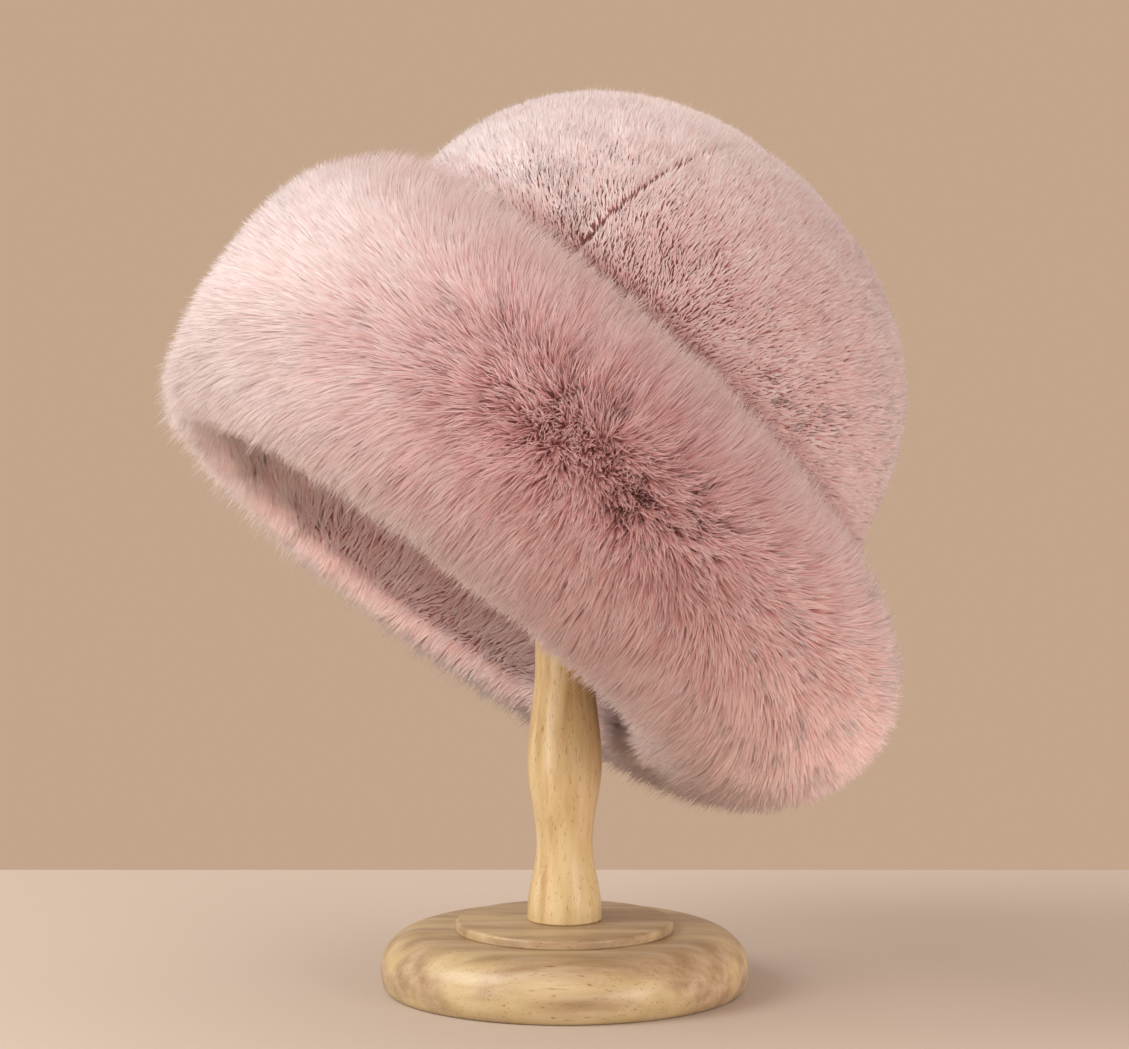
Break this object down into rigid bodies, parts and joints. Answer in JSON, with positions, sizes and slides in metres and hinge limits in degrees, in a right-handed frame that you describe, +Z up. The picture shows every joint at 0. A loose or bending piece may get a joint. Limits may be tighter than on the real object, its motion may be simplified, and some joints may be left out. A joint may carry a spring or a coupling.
{
  "type": "faux fur bucket hat on a wooden hat stand",
  "caption": "Plush dome-crowned bucket hat with a deep long-pile fur cuff, tilted on a turned pale wood hat stand with a round base.",
  "frame": {"origin": "centre of the stand base's flat underside", "axes": "+Z up along the stand's post, -Y towards the viewer, and the hat's crown leans towards +X"},
  "size_m": [0.2571, 0.2801, 0.3154],
  "materials": {
    "plush": "short dusty pink plush pile",
    "long_fur": "long dusty pink faux fur with pale tips",
    "lining": "smooth tan lining cloth",
    "pale_wood": "clear lacquered pale wood"
  },
  "bodies": {
    "root": {"crown_gore_1": "plush", "crown_gore_2": "plush", "crown_gore_3": "plush", "crown_gore_4": "plush", "crown_gore_5": "plush", "crown_gore_6": "plush", "crown_lining": "lining", "fur_cuff": "long_fur", "stand_head": "pale_wood", "stand_post": "pale_wood", "stand_base": "pale_wood"}
  },
  "joints": []
}
